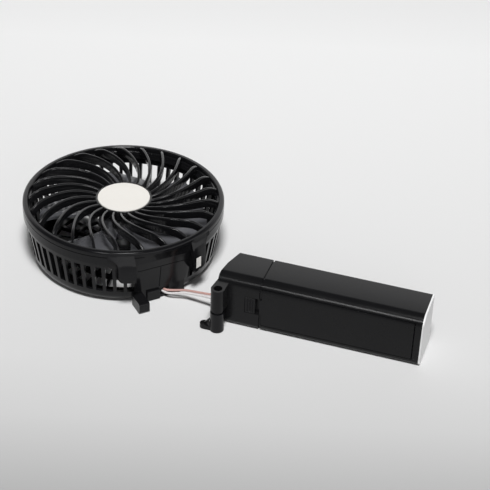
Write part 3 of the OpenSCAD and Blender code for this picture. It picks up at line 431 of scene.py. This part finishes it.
def makeStage(t):
    half, z = t["half"], t["height"]
    verts = [(-half, -half, z), (half, -half, z), (half, half, z), (-half, half, z)]
    mesh = bpy.data.meshes.new("tableTop")
    mesh.from_pydata(verts, [], [(0, 1, 2, 3)])
    obj = bpy.data.objects.new("tableTop", mesh)
    scene.collection.objects.link(obj)
    mat = bpy.data.materials.new("tablePaper")
    mat.use_nodes = True
    n, link = mat.node_tree.nodes, mat.node_tree.links.new
    shader = n["Principled BSDF"]
    shader.inputs["Roughness"].default_value = t["rough"]
    shader.inputs["Specular IOR Level"].default_value = t["specular"]
    coord = n.new("ShaderNodeTexCoord")
    # distance along the ground in the direction that the camera faces
    along = n.new("ShaderNodeVectorMath")
    along.operation = "DOT_PRODUCT"
    fx, fy = photoCamera["forward"][:2]
    size = math.hypot(fx, fy)
    along.inputs[1].default_value = (fx / size, fy / size, 0)
    link(coord.outputs["Object"], along.inputs[0])
    low, high = t["paintedShadeTones"][0][0], t["paintedShadeTones"][-1][0]
    scaled = n.new("ShaderNodeMapRange")
    setRange(scaled, (low, high), (0, 1))
    link(along.outputs["Value"], scaled.inputs["Value"])
    # the ramp paints the shade: the table's grey falls off towards the camera
    ramp = n.new("ShaderNodeValToRGB")
    stops = ramp.color_ramp.elements
    while len(stops) < len(t["paintedShadeTones"]):
        stops.new(0.5)
    for stop, (away, tone) in zip(stops, t["paintedShadeTones"]):
        stop.position = (away - low) / (high - low)
        stop.color = (tone, tone, tone, 1)
    link(scaled.outputs["Result"], ramp.inputs["Fac"])
    link(ramp.outputs["Color"], shader.inputs["Base Color"])
    mesh.materials.append(mat)


makeStage(table)

# a key above the front for the shadows, a wider one beside it that also shows in the gloss, a small strip at the left
# for the highlight along the handle's rounding, and a weak fill from the camera's side;
# gloss and matt say which surfaces a lamp works on
lamps = {
    "softKey": {"place": (-0.28, -0.64, 1.5), "aim": (0.03, -0.05, 0.0), "along": (0.705, -0.709, 0.0),
                "size": (0.3, 0.3), "power": 21.7, "gloss": False, "matt": True},
    "keySpread": {"place": (-0.24, -0.66, 1.5), "aim": (0.03, -0.05, 0.0), "along": (0.705, -0.709, 0.0),
                  "size": (0.4, 0.4), "power": 8.8, "gloss": True, "matt": True},
    "sideStrip": {"place": (-0.79, -0.68, 0.97), "aim": (0.08, -0.13, 0.0), "along": (0.05, -0.88, -0.47),
                  "size": (0.34, 0.14), "power": 2.8, "gloss": True, "matt": False},
    "frontFill": {"place": (-0.62, -1.25, 0.62), "aim": (0.03, -0.05, 0.0), "along": (0.879, -0.477, 0.0),
                  "size": (0.7, 0.5), "power": 1.8, "gloss": False, "matt": True},
}


def makeLamp(name, s):
    data = bpy.data.lights.new(name, "AREA")
    data.shape = "RECTANGLE"
    data.size, data.size_y = s["size"]
    data.energy = s["power"]
    obj = bpy.data.objects.new(name, data)
    obj.visible_glossy, obj.visible_diffuse = s["gloss"], s["matt"]
    scene.collection.objects.link(obj)
    place = np.array(s["place"])
    back = place - np.array(s["aim"])
    back = back / np.linalg.norm(back)
    right = np.array(s["along"]) - np.dot(s["along"], back) * back
    right = right / np.linalg.norm(right)
    up = np.cross(back, right)
    obj.matrix_world = Matrix([[right[i], up[i], back[i], place[i]] for i in range(3)] + [[0, 0, 0, 1]])


for name, s in lamps.items():
    makeLamp(name, s)

# pale panels that the gloss shows: the backdrop behind the part and the wall behind the camera;
# side is where the light comes in as a ray turns to face the panel, top where it goes out as the ray rises
room = {
    "dim": 0.04, "flagged": 0.88,
    "panels": [
        {"light": 1.35, "facing": (0.477, 0.879, 0), "side": (0.1, 0.75), "top": (0.60, 0.72)},
        {"light": 1.5, "facing": (0.26, -0.966, 0), "side": (0.45, 0.70), "top": (0.42, 0.52)},
    ],
}


# strength = dim + flag * sum over panels of light * (how far the ray runs to the panel) * (1 below its upper edge);
# flag is 1, or 1 - flagged for matt surfaces, so that the panels show as gloss and the key makes the shadows
def makeRoom(r):
    world = bpy.data.worlds.new("dimRoom")
    scene.world = world
    world.use_nodes = True
    n, link = world.node_tree.nodes, world.node_tree.links.new

    def mathNode(operation, first, second, third=0.0):
        node = n.new("ShaderNodeMath")
        node.operation = operation
        for socket, value in zip(node.inputs, (first, second, third)):
            if isinstance(value, (int, float)):
                socket.default_value = value
            else:
                link(value, socket)
        return node.outputs[0]

    coord, split = n.new("ShaderNodeTexCoord"), n.new("ShaderNodeSeparateXYZ")
    path = n.new("ShaderNodeLightPath")
    link(coord.outputs["Generated"], split.inputs[0])
    flag = mathNode("MULTIPLY_ADD", path.outputs["Is Diffuse Ray"], -r["flagged"], 1.0)
    total = r["dim"]
    for panel in r["panels"]:
        facing = n.new("ShaderNodeVectorMath")
        facing.operation = "DOT_PRODUCT"
        facing.inputs[1].default_value = panel["facing"]
        link(coord.outputs["Generated"], facing.inputs[0])
        across, over = n.new("ShaderNodeMapRange"), n.new("ShaderNodeMapRange")
        for ramp, edge, ends in ((across, panel["side"], (0, panel["light"])), (over, panel["top"], (1, 0))):
            ramp.interpolation_type = "SMOOTHSTEP"
            setRange(ramp, edge, ends)
        link(facing.outputs["Value"], across.inputs["Value"])
        link(split.outputs["Z"], over.inputs["Value"])
        lit = mathNode("MULTIPLY", across.outputs["Result"], over.outputs["Result"])
        total = mathNode("MULTIPLY_ADD", lit, flag, total)
    n["Background"].inputs["Color"].default_value = (1, 1, 1, 1)
    link(total, n["Background"].inputs["Strength"])


makeRoom(room)
print("stage lit")
